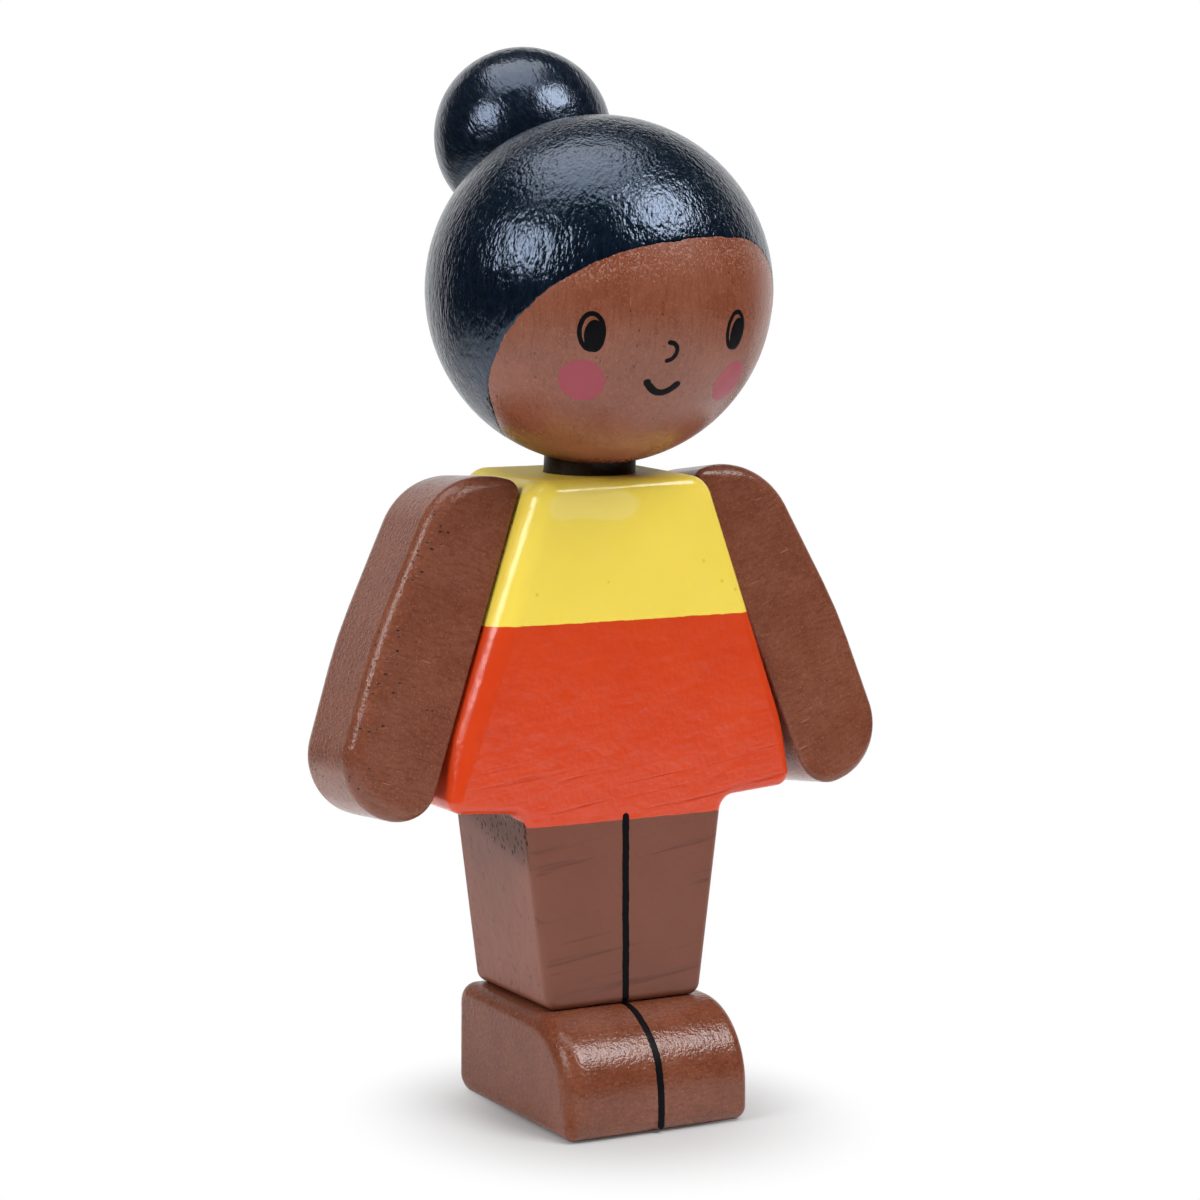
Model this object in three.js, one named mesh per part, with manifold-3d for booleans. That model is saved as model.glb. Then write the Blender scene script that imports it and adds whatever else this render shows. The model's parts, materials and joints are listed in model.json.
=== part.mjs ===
// Wooden toy figure: a ball head with a hair bun, a flared dress block with legs, hinged arms and a foot block.
// Millimetres. +Z is up, -Y is the figure's front and +X is its left side.
// The origin lies on the floor under the middle of the dress block.
import * as THREE from "three";
import { mergeVertices } from "three/addons/utils/BufferGeometryUtils.js";
import Module from "manifold-3d";

const wasm = await Module();
wasm.setup();

// Foot block: lengths forward and back are from the middle of the legs
const FOOT_WIDTH = 17.6;
const FOOT_FORWARD = 13.4;
const FOOT_BACKWARD = 8.4;
const FOOT_HEIGHT = 10;
const FOOT_CORNER_RADIUS = 1.3;
const FOOT_EDGE_RADIUS = 1;
const TOE_RADIUS = 6.9;
const SOLE_PLANED = 0.6;

// Body block: the dress's sides flare straight from the shoulders, then turn in to the hem
const BODY_DEPTH = 14.2;
const BODY_EDGE_RADIUS = 0.9;
const ANKLE_WIDTH = 15;
const ANKLE_CORNER_RADIUS = 1.15;
const LEG_TOP_WIDTH = 19.5;
const LEG_LENGTH = 17.4;
const HEM_FILLET_RADIUS = 1.5;
const HEM_LIFT = 0.55;
const HEM_TUCK = 1.2;
const HEM_CORNER_RADIUS = 1.15;
const BEND_ABOVE_HEM = 5.65;
const BEND_RADIUS = 14;
const DRESS_LENGTH = 27.7;
const DRESS_FLARE = 19.5;
const SHOULDER_WIDTH = 16.4;
const SHOULDER_RADIUS = 2.4;

// Head, leaning forward on its dowel, and turned a little to the figure's right
const HEAD_RADIUS = 15;
const NECK_SHOWN = 1;
const HEAD_LEAN = 6.5;
const HEAD_TURN = -4.5;
const NECK_BACK = -0.4;
const NECK_RADIUS = 4;
const NECK_IN_BODY = 5;
const NECK_IN_HEAD = 7;

// Hair bun: its direction is the angle above the head's own level plane
const BUN_RADIUS = 8.05;
const BUN_LIFT = 31.4;
const BUN_SINK_IN_HEAD = 0.4;
const BUN_FLAT_DEPTH = 0.9;
const BUN_DOWEL_RADIUS = 1.75;
const BUN_DOWEL_IN_HEAD = 5;
const BUN_DOWEL_IN_BUN = 5;

// Arms: lengths run down the dress's slanted side, from the shoulder corner
const ARM_START = 0.65;
const ARM_LENGTH = 30.6;
const ARM_DEPTH = 9.5;
const ARM_EDGE_RADIUS = 0.8;
const ARM_TOP_THICKNESS = 7;
const ARM_MIDDLE_THICKNESS = 8.95;
const ARM_HAND_THICKNESS = 8.65;
const ARM_MIDDLE = 16.5;
const ARM_INNER_TOP_RADIUS = 1.1;
const ARM_INNER_HAND_RADIUS = 3.2;
const ARM_OUTER_HAND_RADIUS = 5.3;
const ARM_OUTER_RADIUS = 40;
const ARM_OUTER_TOP_RADIUS = 6.6;
const ARM_PIVOT = 6.5;
const ARM_DOWEL_RADIUS = 2;
const ARM_DOWEL_IN_ARM = 5;
const ARM_DOWEL_IN_BODY = 5;
const RIGHT_ARM_SWING = 3.7;
const LEFT_ARM_SWING = 7.3;

// Foot dowels
const FOOT_DOWEL_RADIUS = 2;
const FOOT_DOWEL_SPACING = 7.6;
const FOOT_DOWEL_IN_LEG = 7;
const FOOT_DOWEL_IN_FOOT = 6;

// Fits
const BORE_CLEARANCE = 0.08;
const BORE_END_GAP = 0.3;
const SEAT_GAP = 0.2;

// Facets of the round shapes
const ARC_STEP = THREE.MathUtils.degToRad(13);
const EDGE_SEGMENTS = 4;
const DOWEL_SEGMENTS = 32;
const HEAD_SEGMENTS = 48;
const BUN_SEGMENTS = 36;

// Largest shares of an edge that its arcs take, and of the smallest corner that a rim takes
const ARC_SHARE = 0.98;
const RIM_SHARE = 0.95;

const radians = THREE.MathUtils.degToRad;

// Heights from the floor, and half widths
const crotchHeight = FOOT_HEIGHT + LEG_LENGTH;
const hemHeight = crotchHeight + HEM_LIFT;
const bendHeight = hemHeight + BEND_ABOVE_HEM;
const shoulderHeight = hemHeight + DRESS_LENGTH;
const headRise = HEAD_RADIUS + NECK_SHOWN;
const sideSlope = radians(DRESS_FLARE);

function dressSide(height) {
  return SHOULDER_WIDTH / 2 + (shoulderHeight - height) * Math.tan(sideSlope);
}

// Solids for cutting

function solidOf(geometry) {
  const bare = geometry.clone();
  bare.deleteAttribute("normal");
  bare.deleteAttribute("uv");
  const merged = mergeVertices(bare);
  const mesh = new wasm.Mesh({
    numProp: 3,
    vertProperties: new Float32Array(merged.attributes.position.array),
    triVerts: new Uint32Array(merged.index.array),
  });
  return new wasm.Manifold(mesh);
}

function geometryOf(solid) {
  const mesh = solid.getMesh();
  const geometry = new THREE.BufferGeometry();
  geometry.setAttribute("position", new THREE.BufferAttribute(mesh.vertProperties, 3));
  geometry.setIndex(new THREE.BufferAttribute(mesh.triVerts, 1));
  geometry.computeVertexNormals();
  return geometry;
}

function cut(geometry, ...cutters) {
  let solid = solidOf(geometry);
  for (const cutter of cutters) {
    solid = solid.subtract(solidOf(cutter));
  }
  return geometryOf(solid);
}

// Shapes

// Corner of a closed outline of [x, y, radius] corners: its unit edges, half angle and tangent length.
function cornerAt(corners, i) {
  const [x, y, radius] = corners[i];
  const point = new THREE.Vector2(x, y);
  const before = new THREE.Vector2(...corners.at(i - 1)).sub(point);
  const after = new THREE.Vector2(...corners[(i + 1) % corners.length]).sub(point);
  const halfAngle = before.angleTo(after) / 2;
  const tangent = radius / Math.tan(halfAngle);
  return { point, before: before.clone().normalize(), after: after.clone().normalize(), halfAngle, tangent };
}

// The same corners, with radii reduced where an edge is too short for the arcs at both its ends.
function fittedCorners(corners) {
  const share = corners.map((corner, i) => {
    const next = (i + 1) % corners.length;
    const needed = cornerAt(corners, i).tangent + cornerAt(corners, next).tangent;
    const edge = Math.hypot(corners[next][0] - corner[0], corners[next][1] - corner[1]);
    return Math.min(1, (ARC_SHARE * edge) / needed);
  });
  return corners.map(([x, y, radius], i) => [x, y, radius * Math.min(share[i], share.at(i - 1))]);
}

// Closed outline through the corners, with each corner rounded by an arc.
function roundedOutline(corners) {
  const points = [];
  corners.forEach(([, , radius], i) => {
    const { point, before, after, halfAngle, tangent } = cornerAt(corners, i);
    const middle = before.clone().add(after).normalize();
    const centre = point.clone().addScaledVector(middle, radius / Math.sin(halfAngle));
    const start = point.clone().addScaledVector(before, tangent);
    const sweep = Math.sign(before.cross(after)) * (2 * halfAngle - Math.PI);
    const steps = Math.ceil(Math.abs(sweep) / ARC_STEP);
    for (let step = 0; step <= steps; step += 1) {
      points.push(start.clone().rotateAround(centre, (sweep * step) / steps));
    }
  });
  return new THREE.Shape(points);
}

// Slab of an outline drawn in X and Z, centred on Y = 0, with its two rims rounded.
function slab(corners, depth, edgeRadius) {
  const fitted = fittedCorners(corners);
  const smallest = Math.min(...fitted.map(([, , radius]) => radius));
  const rim = Math.min(edgeRadius, RIM_SHARE * smallest);
  const geometry = new THREE.ExtrudeGeometry(roundedOutline(fitted), {
    depth: depth - 2 * rim,
    bevelSize: rim,
    bevelThickness: rim,
    bevelOffset: -rim,
    bevelSegments: EDGE_SEGMENTS,
  });
  geometry.translate(0, 0, rim - depth / 2);
  return geometry.rotateX(Math.PI / 2);
}

// Round bar along Z from one height to another.
function bar(radius, bottom, top) {
  const geometry = new THREE.CylinderGeometry(radius, radius, top - bottom, DOWEL_SEGMENTS);
  return geometry.rotateX(Math.PI / 2).translate(0, 0, (top + bottom) / 2);
}

function ball(radius, segments) {
  return new THREE.SphereGeometry(radius, segments, segments / 2).rotateX(Math.PI / 2);
}

function addPiece(parent, name, geometry, material) {
  const piece = new THREE.Mesh(geometry, material.clone());
  piece.name = name;
  parent.add(piece);
}

function placed(geometry, group) {
  group.updateWorldMatrix(true, false);
  return geometry.clone().applyMatrix4(group.matrixWorld);
}

// Materials

const hairPaint = new THREE.MeshStandardMaterial({ color: 0x0b1620, roughness: 0.35, metalness: 0 });
const skinPaint = new THREE.MeshStandardMaterial({ color: 0x7a4632, roughness: 0.45, metalness: 0 });
const dressPaint = new THREE.MeshStandardMaterial({ color: 0xd1492a, roughness: 0.3, metalness: 0 });
const bareWood = new THREE.MeshStandardMaterial({ color: 0xc9a878, roughness: 0.7, metalness: 0 });

// Places

const figure = new THREE.Group();

// The head group stands on the dress: its Z runs along the neck.
const headGroup = new THREE.Group();
headGroup.position.set(0, NECK_BACK, shoulderHeight);
headGroup.rotation.set(radians(HEAD_LEAN), 0, radians(HEAD_TURN));
figure.add(headGroup);

// The bun group sits at the head's centre: its Z points at the bun.
const bunGroup = new THREE.Group();
bunGroup.position.set(0, 0, headRise);
bunGroup.rotation.x = radians(BUN_LIFT - 90);
headGroup.add(bunGroup);

// Each arm group sits at its pivot on the dress's side: X runs down the side and Z points outward.
function armGroup(side, swing) {
  const turned = new THREE.Group();
  turned.rotation.z = side > 0 ? 0 : Math.PI;
  const arm = new THREE.Group();
  const pivotHeight = shoulderHeight - ARM_PIVOT * Math.cos(sideSlope);
  arm.position.set(dressSide(pivotHeight), 0, pivotHeight);
  arm.rotation.set(0, Math.PI / 2 - sideSlope, -side * radians(swing));
  turned.add(arm);
  figure.add(turned);
  return arm;
}

const rightArmGroup = armGroup(-1, RIGHT_ARM_SWING);
const leftArmGroup = armGroup(1, LEFT_ARM_SWING);

// Each foot dowel group sits at the joint between foot and leg.
function footDowelGroup(side) {
  const group = new THREE.Group();
  group.position.set((side * FOOT_DOWEL_SPACING) / 2, 0, FOOT_HEIGHT);
  figure.add(group);
  return group;
}

const rightFootDowelGroup = footDowelGroup(-1);
const leftFootDowelGroup = footDowelGroup(1);

// Foot block

function footGeometry() {
  const outline = [
    [-FOOT_BACKWARD, -SOLE_PLANED, FOOT_CORNER_RADIUS],
    [FOOT_FORWARD, -SOLE_PLANED, FOOT_CORNER_RADIUS],
    [FOOT_FORWARD, FOOT_HEIGHT, TOE_RADIUS],
    [-FOOT_BACKWARD, FOOT_HEIGHT, FOOT_CORNER_RADIUS],
  ];
  const block = slab(outline, FOOT_WIDTH, FOOT_EDGE_RADIUS).rotateZ(-Math.PI / 2);
  const length = FOOT_FORWARD + FOOT_BACKWARD;
  const underSole = new THREE.BoxGeometry(2 * FOOT_WIDTH, 2 * length, 2 * SOLE_PLANED);
  const bore = bar(FOOT_DOWEL_RADIUS + BORE_CLEARANCE, -FOOT_DOWEL_IN_FOOT - BORE_END_GAP, FOOT_HEIGHT);
  return cut(
    block,
    underSole.translate(0, 0, -SOLE_PLANED),
    placed(bore, rightFootDowelGroup),
    placed(bore, leftFootDowelGroup),
  );
}

addPiece(figure, "foot_block", footGeometry(), skinPaint);

const footDowel = bar(FOOT_DOWEL_RADIUS, -FOOT_DOWEL_IN_FOOT, FOOT_DOWEL_IN_LEG);
addPiece(rightFootDowelGroup, "right_foot_dowel", footDowel, bareWood);
addPiece(leftFootDowelGroup, "left_foot_dowel", footDowel, bareWood);

// Body block: dress and legs in one front outline

function bodyGeometry() {
  const leftHalf = [
    [ANKLE_WIDTH / 2, FOOT_HEIGHT, ANKLE_CORNER_RADIUS],
    [LEG_TOP_WIDTH / 2, crotchHeight, HEM_FILLET_RADIUS],
    [dressSide(hemHeight) - HEM_TUCK, hemHeight, HEM_CORNER_RADIUS],
    [dressSide(bendHeight), bendHeight, BEND_RADIUS],
    [SHOULDER_WIDTH / 2, shoulderHeight, SHOULDER_RADIUS],
  ];
  const rightHalf = leftHalf.map(([x, z, radius]) => [-x, z, radius]).reverse();
  const block = slab([...leftHalf, ...rightHalf], BODY_DEPTH, BODY_EDGE_RADIUS);
  const neckBore = bar(NECK_RADIUS + BORE_CLEARANCE, -NECK_IN_BODY - BORE_END_GAP, NECK_RADIUS);
  const armBore = bar(ARM_DOWEL_RADIUS + BORE_CLEARANCE, -ARM_DOWEL_IN_BODY - BORE_END_GAP, ARM_DOWEL_RADIUS);
  const footBore = bar(FOOT_DOWEL_RADIUS + BORE_CLEARANCE, -FOOT_HEIGHT, FOOT_DOWEL_IN_LEG + BORE_END_GAP);
  return cut(
    block,
    placed(neckBore, headGroup),
    placed(armBore, rightArmGroup),
    placed(armBore, leftArmGroup),
    placed(footBore, rightFootDowelGroup),
    placed(footBore, leftFootDowelGroup),
  );
}

addPiece(figure, "body_block", bodyGeometry(), dressPaint);

// Arms and their dowels

function armGeometry() {
  const top = ARM_START - ARM_PIVOT;
  const hand = top + ARM_LENGTH;
  const outline = [
    [top, SEAT_GAP, ARM_INNER_TOP_RADIUS],
    [hand, SEAT_GAP, ARM_INNER_HAND_RADIUS],
    [hand, SEAT_GAP + ARM_HAND_THICKNESS, ARM_OUTER_HAND_RADIUS],
    [top + ARM_MIDDLE, SEAT_GAP + ARM_MIDDLE_THICKNESS, ARM_OUTER_RADIUS],
    [top, SEAT_GAP + ARM_TOP_THICKNESS, ARM_OUTER_TOP_RADIUS],
  ];
  const bore = bar(ARM_DOWEL_RADIUS + BORE_CLEARANCE, -ARM_DOWEL_RADIUS, ARM_DOWEL_IN_ARM + BORE_END_GAP);
  return cut(slab(outline, ARM_DEPTH, ARM_EDGE_RADIUS), bore);
}

const armDowel = bar(ARM_DOWEL_RADIUS, -ARM_DOWEL_IN_BODY, ARM_DOWEL_IN_ARM);
addPiece(rightArmGroup, "right_arm", armGeometry(), skinPaint);
addPiece(rightArmGroup, "right_arm_dowel", armDowel, bareWood);
addPiece(leftArmGroup, "left_arm", armGeometry(), skinPaint);
addPiece(leftArmGroup, "left_arm_dowel", armDowel, bareWood);

// Head, neck and bun

const headFlat = HEAD_RADIUS - BUN_SINK_IN_HEAD;
const bunFlat = headFlat + SEAT_GAP;
const bunCentre = bunFlat + BUN_RADIUS - BUN_FLAT_DEPTH;
const neckEnd = NECK_SHOWN + NECK_IN_HEAD;

function headGeometry() {
  const neckBore = bar(NECK_RADIUS + BORE_CLEARANCE, 0, neckEnd + BORE_END_GAP);
  const bunSeat = bar(BUN_RADIUS, headFlat, HEAD_RADIUS + BUN_RADIUS);
  const bunBore = bar(BUN_DOWEL_RADIUS + BORE_CLEARANCE, headFlat - BUN_DOWEL_IN_HEAD - BORE_END_GAP, HEAD_RADIUS);
  bunGroup.updateMatrix();
  return cut(
    ball(HEAD_RADIUS, HEAD_SEGMENTS).translate(0, 0, headRise),
    neckBore,
    bunSeat.applyMatrix4(bunGroup.matrix),
    bunBore.applyMatrix4(bunGroup.matrix),
  );
}

function bunGeometry() {
  const flatCut = bar(2 * BUN_RADIUS, 0, bunFlat);
  const bore = bar(BUN_DOWEL_RADIUS + BORE_CLEARANCE, 0, bunFlat + BUN_DOWEL_IN_BUN + BORE_END_GAP);
  return cut(ball(BUN_RADIUS, BUN_SEGMENTS).translate(0, 0, bunCentre), flatCut, bore);
}

addPiece(headGroup, "neck_dowel", bar(NECK_RADIUS, -NECK_IN_BODY, neckEnd), skinPaint);
addPiece(headGroup, "head_ball", headGeometry(), skinPaint);
addPiece(bunGroup, "hair_bun", bunGeometry(), hairPaint);
const bunDowel = bar(BUN_DOWEL_RADIUS, headFlat - BUN_DOWEL_IN_HEAD, bunFlat + BUN_DOWEL_IN_BUN);
addPiece(bunGroup, "bun_dowel", bunDowel, bareWood);

export default figure;
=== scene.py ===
"""Painted wooden toy figure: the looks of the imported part, in metres and in the part's own frame."""
import json
import math

import bmesh
import bpy
from mathutils import Matrix, Vector, noise


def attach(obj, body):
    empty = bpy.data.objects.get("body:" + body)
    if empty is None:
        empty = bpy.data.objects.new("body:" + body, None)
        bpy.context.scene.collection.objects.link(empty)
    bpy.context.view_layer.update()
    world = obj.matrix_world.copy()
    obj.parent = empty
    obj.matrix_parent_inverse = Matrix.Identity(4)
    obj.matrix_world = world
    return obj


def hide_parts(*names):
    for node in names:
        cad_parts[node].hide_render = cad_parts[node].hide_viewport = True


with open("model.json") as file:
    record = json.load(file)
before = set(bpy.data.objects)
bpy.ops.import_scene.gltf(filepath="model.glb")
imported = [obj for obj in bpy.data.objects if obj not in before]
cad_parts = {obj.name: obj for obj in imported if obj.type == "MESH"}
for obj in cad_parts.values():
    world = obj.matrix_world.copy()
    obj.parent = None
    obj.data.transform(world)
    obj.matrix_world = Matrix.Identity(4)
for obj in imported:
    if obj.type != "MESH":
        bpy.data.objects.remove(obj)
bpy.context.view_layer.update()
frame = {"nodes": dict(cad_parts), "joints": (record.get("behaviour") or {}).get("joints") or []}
joints = {joint["name"]: joint for joint in frame["joints"]}

# Foot block: lengths forward and back are from the middle of the legs
FOOT_WIDTH = 0.0176
FOOT_FORWARD = 0.0134
FOOT_BACKWARD = 0.0084
FOOT_HEIGHT = 0.0100
FOOT_CORNER_RADIUS = 0.0013
FOOT_HEEL_RADIUS = 0.0019
FOOT_EDGE_RADIUS = 0.00125
LEFT_FOOT_EDGE_RADIUS = 0.0010
TOE_EDGE_RADIUS = 0.0019
SOLE_EDGE_RADIUS = 0.0010
SOLE_EDGE_HEIGHT = 0.00095
TOE_RADIUS = 0.0069

# Body block: dress and legs in one front outline
BODY_DEPTH = 0.0142
BODY_EDGE_RADIUS = 0.0007
DRESS_EDGE_RADIUS = 0.0021
DRESS_LEFT_EDGE_RADIUS = 0.0011
DRESS_EDGE_CHANGE = 0.0026
DRESS_TOP_RISE = 0.00035
ANKLE_WIDTH = 0.0150
ANKLE_CORNER_RADIUS = 0.00115
LEG_TOP_WIDTH = 0.0195
LEG_LENGTH = 0.0174
HEM_FILLET_RADIUS = 0.0015
HEM_LIFT = 0.00055
HEM_TUCK = 0.0012
HEM_CORNER_RADIUS = 0.00125
BEND_ABOVE_HEM = 0.00565
BEND_RADIUS = 0.0140
DRESS_LENGTH = 0.0277
DRESS_FLARE = math.radians(19.5)
SHOULDER_WIDTH = 0.0164
SHOULDER_RADIUS = 0.0024

# Head, neck and bun
HEAD_RADIUS = 0.01495
HAIR_RADIUS = 0.01498
HEAD_RISE = 0.0160
HEAD_LEAN = math.radians(6.5)
HEAD_TURN = math.radians(-4.5)
NECK_RADIUS = 0.0040
NECK_IN_BODY = 0.0050
NECK_TOP = 0.0080
NECK_BEVEL = 0.0004
BUN_RADIUS = 0.00803
BUN_LIFT = math.radians(31.4)
BUN_FLAT_ON_HEAD = 0.0146
BUN_FLAT = 0.0148
BUN_FLAT_DEPTH = 0.0009

# Arms: lengths run down the dress's side from the pivot
ARM_TOP = -0.00585
ARM_LENGTH = 0.0306
ARM_DEPTH = 0.0095
ARM_EDGE_RADIUS = 0.0014
LEFT_ARM_EDGE_RADIUS = 0.0008
ARM_INNER_EDGE_RADIUS = 0.00035
ARM_EDGE_CHANGE = 0.0030
ARM_GAP = 0.0002
ARM_TOP_THICKNESS = 0.0070
ARM_MIDDLE_THICKNESS = 0.00892
ARM_HAND_THICKNESS = 0.00862
ARM_MIDDLE = 0.0165
ARM_INNER_TOP_RADIUS = 0.0011
ARM_INNER_HAND_RADIUS = 0.0032
ARM_OUTER_HAND_RADIUS = 0.0053
ARM_OUTER_RADIUS = 0.0400
ARM_OUTER_TOP_RADIUS = 0.0066
RIGHT_ARM_SWING = math.radians(3.7)
LEFT_ARM_SWING = math.radians(7.3)

# Bores for the dowels: radius, and depth from the joint's face
BORE_CLEARANCE = 0.00008
BORE_END_GAP = 0.0003
DOWEL_RADIUS = 0.0020
ARM_DOWEL_REACH = 0.0050
FOOT_DOWEL_SPACING = 0.0076
FOOT_DOWEL_IN_LEG = 0.0070
FOOT_DOWEL_IN_FOOT = 0.0060
BUN_DOWEL_RADIUS = 0.00175
BUN_DOWEL_REACH = 0.0050

# Painted places on the body block and the foot, and thickness of the paint
SKIRT_TOP = 0.0435
SKIRT_HEM_FRONT = 0.0262
SKIRT_HEM_SIDE = 0.0267
SKIRT_HEM_ARCH = 0.0009
SKIRT_LINES_RISE = 0.012
SKIRT_GROOVES_RISE = 0.010
FILM = 0.000015
# Pale patch on the dress's upper front: a painted highlight that stands for a soft reflection
PAINTED_HIGHLIGHT_PLACE = (-0.0030, -0.0071, 0.0536)
PAINTED_HIGHLIGHT_REACH = (0.0052, 0.0020, 0.0017)
# Leg end grain below the hem: its darker brown is partly painted shade under the hem
BARE_FROM_BACK = 0.0243
BARE_FROM_FRONT = 0.0213
BARE_FADE = 0.0030
LEG_LINE_TOP = 0.0268
LEG_LINE_HALF_WIDTH = 0.00033
LEG_LINE_END_GAP = 0.00005
LEG_LINE_SWAY = 0.00008
LEG_LINE_SWAY_SCALE = 300
FOOT_LINE_SWAY = 0.00018
FOOT_LINE_SWAY_SCALE = 230
FOOT_LINE_REACH = 0.9

# Face: angles in degrees to the figure's left and above the head's level plane; lengths in metres
RIGHT_EYE = (-25.6, -6.3)
LEFT_EYE = (27.0, -6.0)
EYE_HALF_WIDTH = 0.00110
EYE_HALF_HEIGHT = 0.00168
EYE_LINE_HALF_WIDTH = 0.00020
PUPIL_HALF_WIDTH = 0.00088
PUPIL_HALF_HEIGHT = 0.00138
PUPIL_SHIFT = (0.00026, -0.00036)
NOSE = [
    (-0.5, -9.0), (1.5, -9.3), (2.9, -10.4), (3.3, -12.1), (2.4, -14.1), (1.0, -15.0), (-0.6, -15.3),
]
NOSE_HALF_WIDTH = 0.00020
MOUTH = [
    (-6.0, -21.8), (-4.7, -24.0), (-2.2, -26.1), (0.8, -26.8), (3.5, -25.9), (5.6, -24.3), (7.1, -22.9),
]
MOUTH_HALF_WIDTH = 0.00033
RIGHT_CHEEK = (-28.3, -23.3)
LEFT_CHEEK = (32.3, -24.3)
CHEEK_RADIUS = 0.00197

# Hairline, in degrees: clock angle round the face's axis, from its top to the left, and distance from it
FACE_AXIS_DIP = math.radians(-25)
HAIRLINE = [
    (-180, 95), (-154, 79), (-143, 67.6), (-126, 60.3), (-109, 58.1), (-90, 54.4), (-66, 51), (-41, 48),
    (-14, 47), (5, 48.5), (25, 53.4), (48, 62.3), (70, 66.5), (100, 63.3), (126, 60.8), (143, 67.6),
    (154, 79),
]
HAIR_LIP = 0.9
HAIR_END = 179.75
HAIR_EDGE_WAVE = 0.45
HAIR_EDGE_WAVE_SCALE = 9
HAIR_EDGE_NICKS = 0.3
HAIR_EDGE_NICKS_SCALE = 40

# Camera, found from the photograph
CAMERA_PLACE = (-0.136668, -0.256847, 0.077355)
CAMERA_PITCH = math.radians(6.437)
CAMERA_AZIMUTH = math.radians(-28.24)
CAMERA_LENS = 100.43
CAMERA_SENSOR = 36
CAMERA_CLIP = 0.01

# Mesh fineness
ARC_STEP = math.radians(4)
RIM_STEPS = 7
SUPPORT = 0.00004
LATHE_SEGMENTS = 144
BORE_SEGMENTS = 48
HEAD_STEPS = 72
BUN_STEPS = 60
EYE_STEPS = 72
OVAL_STEPS = 64
OVAL_ROWS = 8
FACE_STROKE_STEPS = 14
LEG_LINE_STEPS = 90
TOE_LINE_STEPS = 40
FOOT_FRONT_LINE_STEPS = 12
HAIR_COLUMNS = 360
HAIR_ROWS = 86
HAIR_LIP_ROWS = 3
HAIR_INNER_ROWS = 24
SHARP_ANGLE = math.radians(40)


def srgb(red, green, blue):
    """Linear colour of 0 to 255 screen values."""
    def linear(value):
        share = value / 255
        return share / 12.92 if share <= 0.04045 else ((share + 0.055) / 1.055) ** 2.4
    return (linear(red), linear(green), linear(blue), 1)


# Places

SIDES = {-1: "right", 1: "left"}

head_turned = Matrix.Rotation(HEAD_LEAN, 4, "X") @ Matrix.Rotation(HEAD_TURN, 4, "Z")
head_frame = Matrix.Translation(joints["head_turn"]["pos_m"]) @ head_turned
ball_frame = head_frame @ Matrix.Translation((0, 0, HEAD_RISE))
bun_frame = ball_frame @ Matrix.Rotation(BUN_LIFT - math.pi / 2, 4, "X")


def arm_frame(side, swing):
    """Frame of an arm at its pivot: X runs down the dress's side and Z points outward."""
    joint = joints[f"{SIDES[side]}_arm_swing"]
    outward = (Vector(joint["axis"]) * -side).normalized()
    down = Vector((side * math.sin(DRESS_FLARE), 0, -math.cos(DRESS_FLARE)))
    across = outward.cross(down).normalized()
    turn = Matrix((across.cross(outward), across, outward)).transposed().to_4x4()
    return Matrix.Translation(joint["pos_m"]) @ turn @ Matrix.Rotation(-side * swing, 4, "Z")


def foot_joint(side):
    """Frame of a foot dowel where the leg stands on the foot."""
    return Matrix.Translation((side * FOOT_DOWEL_SPACING / 2, 0, FOOT_HEIGHT))


crotch_height = FOOT_HEIGHT + LEG_LENGTH
hem_height = crotch_height + HEM_LIFT
bend_height = hem_height + BEND_ABOVE_HEM
shoulder_height = hem_height + DRESS_LENGTH


def dress_side(height):
    """Half width of the dress at a height, on the line of its flared side."""
    return SHOULDER_WIDTH / 2 + (shoulder_height - height) * math.tan(DRESS_FLARE)


def blend(start, end, share):
    """Value between two, held at either for a share outside 0 to 1."""
    return start + (end - start) * min(max(share, 0), 1)


def spline(before, here, after, later, share):
    """Value of a smooth curve at a share of the way from one of its numbers to the next."""
    slope = after - before
    bow = 2 * before - 5 * here + 4 * after - later
    twist = 3 * here - before - 3 * after + later
    return 0.5 * (2 * here + slope * share + bow * share ** 2 + twist * share ** 3)


def smooth_curve(points, steps):
    """Smooth curve through points, which are tuples of numbers."""
    ends = [points[0], *points, points[-1]]
    curve = []
    for neighbours in zip(ends, ends[1:], ends[2:], ends[3:]):
        for step in range(steps):
            curve.append(tuple(spline(*numbers, step / steps) for numbers in zip(*neighbours)))
    return curve + [points[-1]]


# Mesh building

def add_object(name, data):
    """New object of the scene."""
    made = bpy.data.objects.new(name, data)
    bpy.context.scene.collection.objects.link(made)
    return made


def finished_mesh(name, bm):
    """Mesh of a bmesh, which is freed."""
    mesh = bpy.data.meshes.new(name)
    bm.to_mesh(mesh)
    bm.free()
    return mesh


def smooth(mesh):
    """Smooth shading, with sharp edges kept."""
    mesh.shade_smooth()
    mesh.set_sharp_from_angle(angle=SHARP_ANGLE)


def add_piece(name, bm, place, body, replaced=()):
    """Piece from a closed bmesh drawn in the frame of its place, which rides on its body."""
    bmesh.ops.recalc_face_normals(bm, faces=bm.faces)
    mesh = finished_mesh(name, bm)
    mesh.transform(place)
    smooth(mesh)
    piece = add_object(name, mesh)
    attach(piece, body)
    if replaced:
        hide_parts(*replaced)
    return piece


def bridge(bm, rings):
    """Quads between neighbouring rings of equal count."""
    for ring, following in zip(rings, rings[1:]):
        count = len(ring)
        for i in range(count):
            j = (i + 1) % count
            bm.faces.new((ring[i], following[i], following[j], ring[j]))


def fan(bm, tip, ring):
    """Triangles from a point to a ring round it."""
    for i, vertex in enumerate(ring):
        bm.faces.new((tip, vertex, ring[(i + 1) % len(ring)]))


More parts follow.
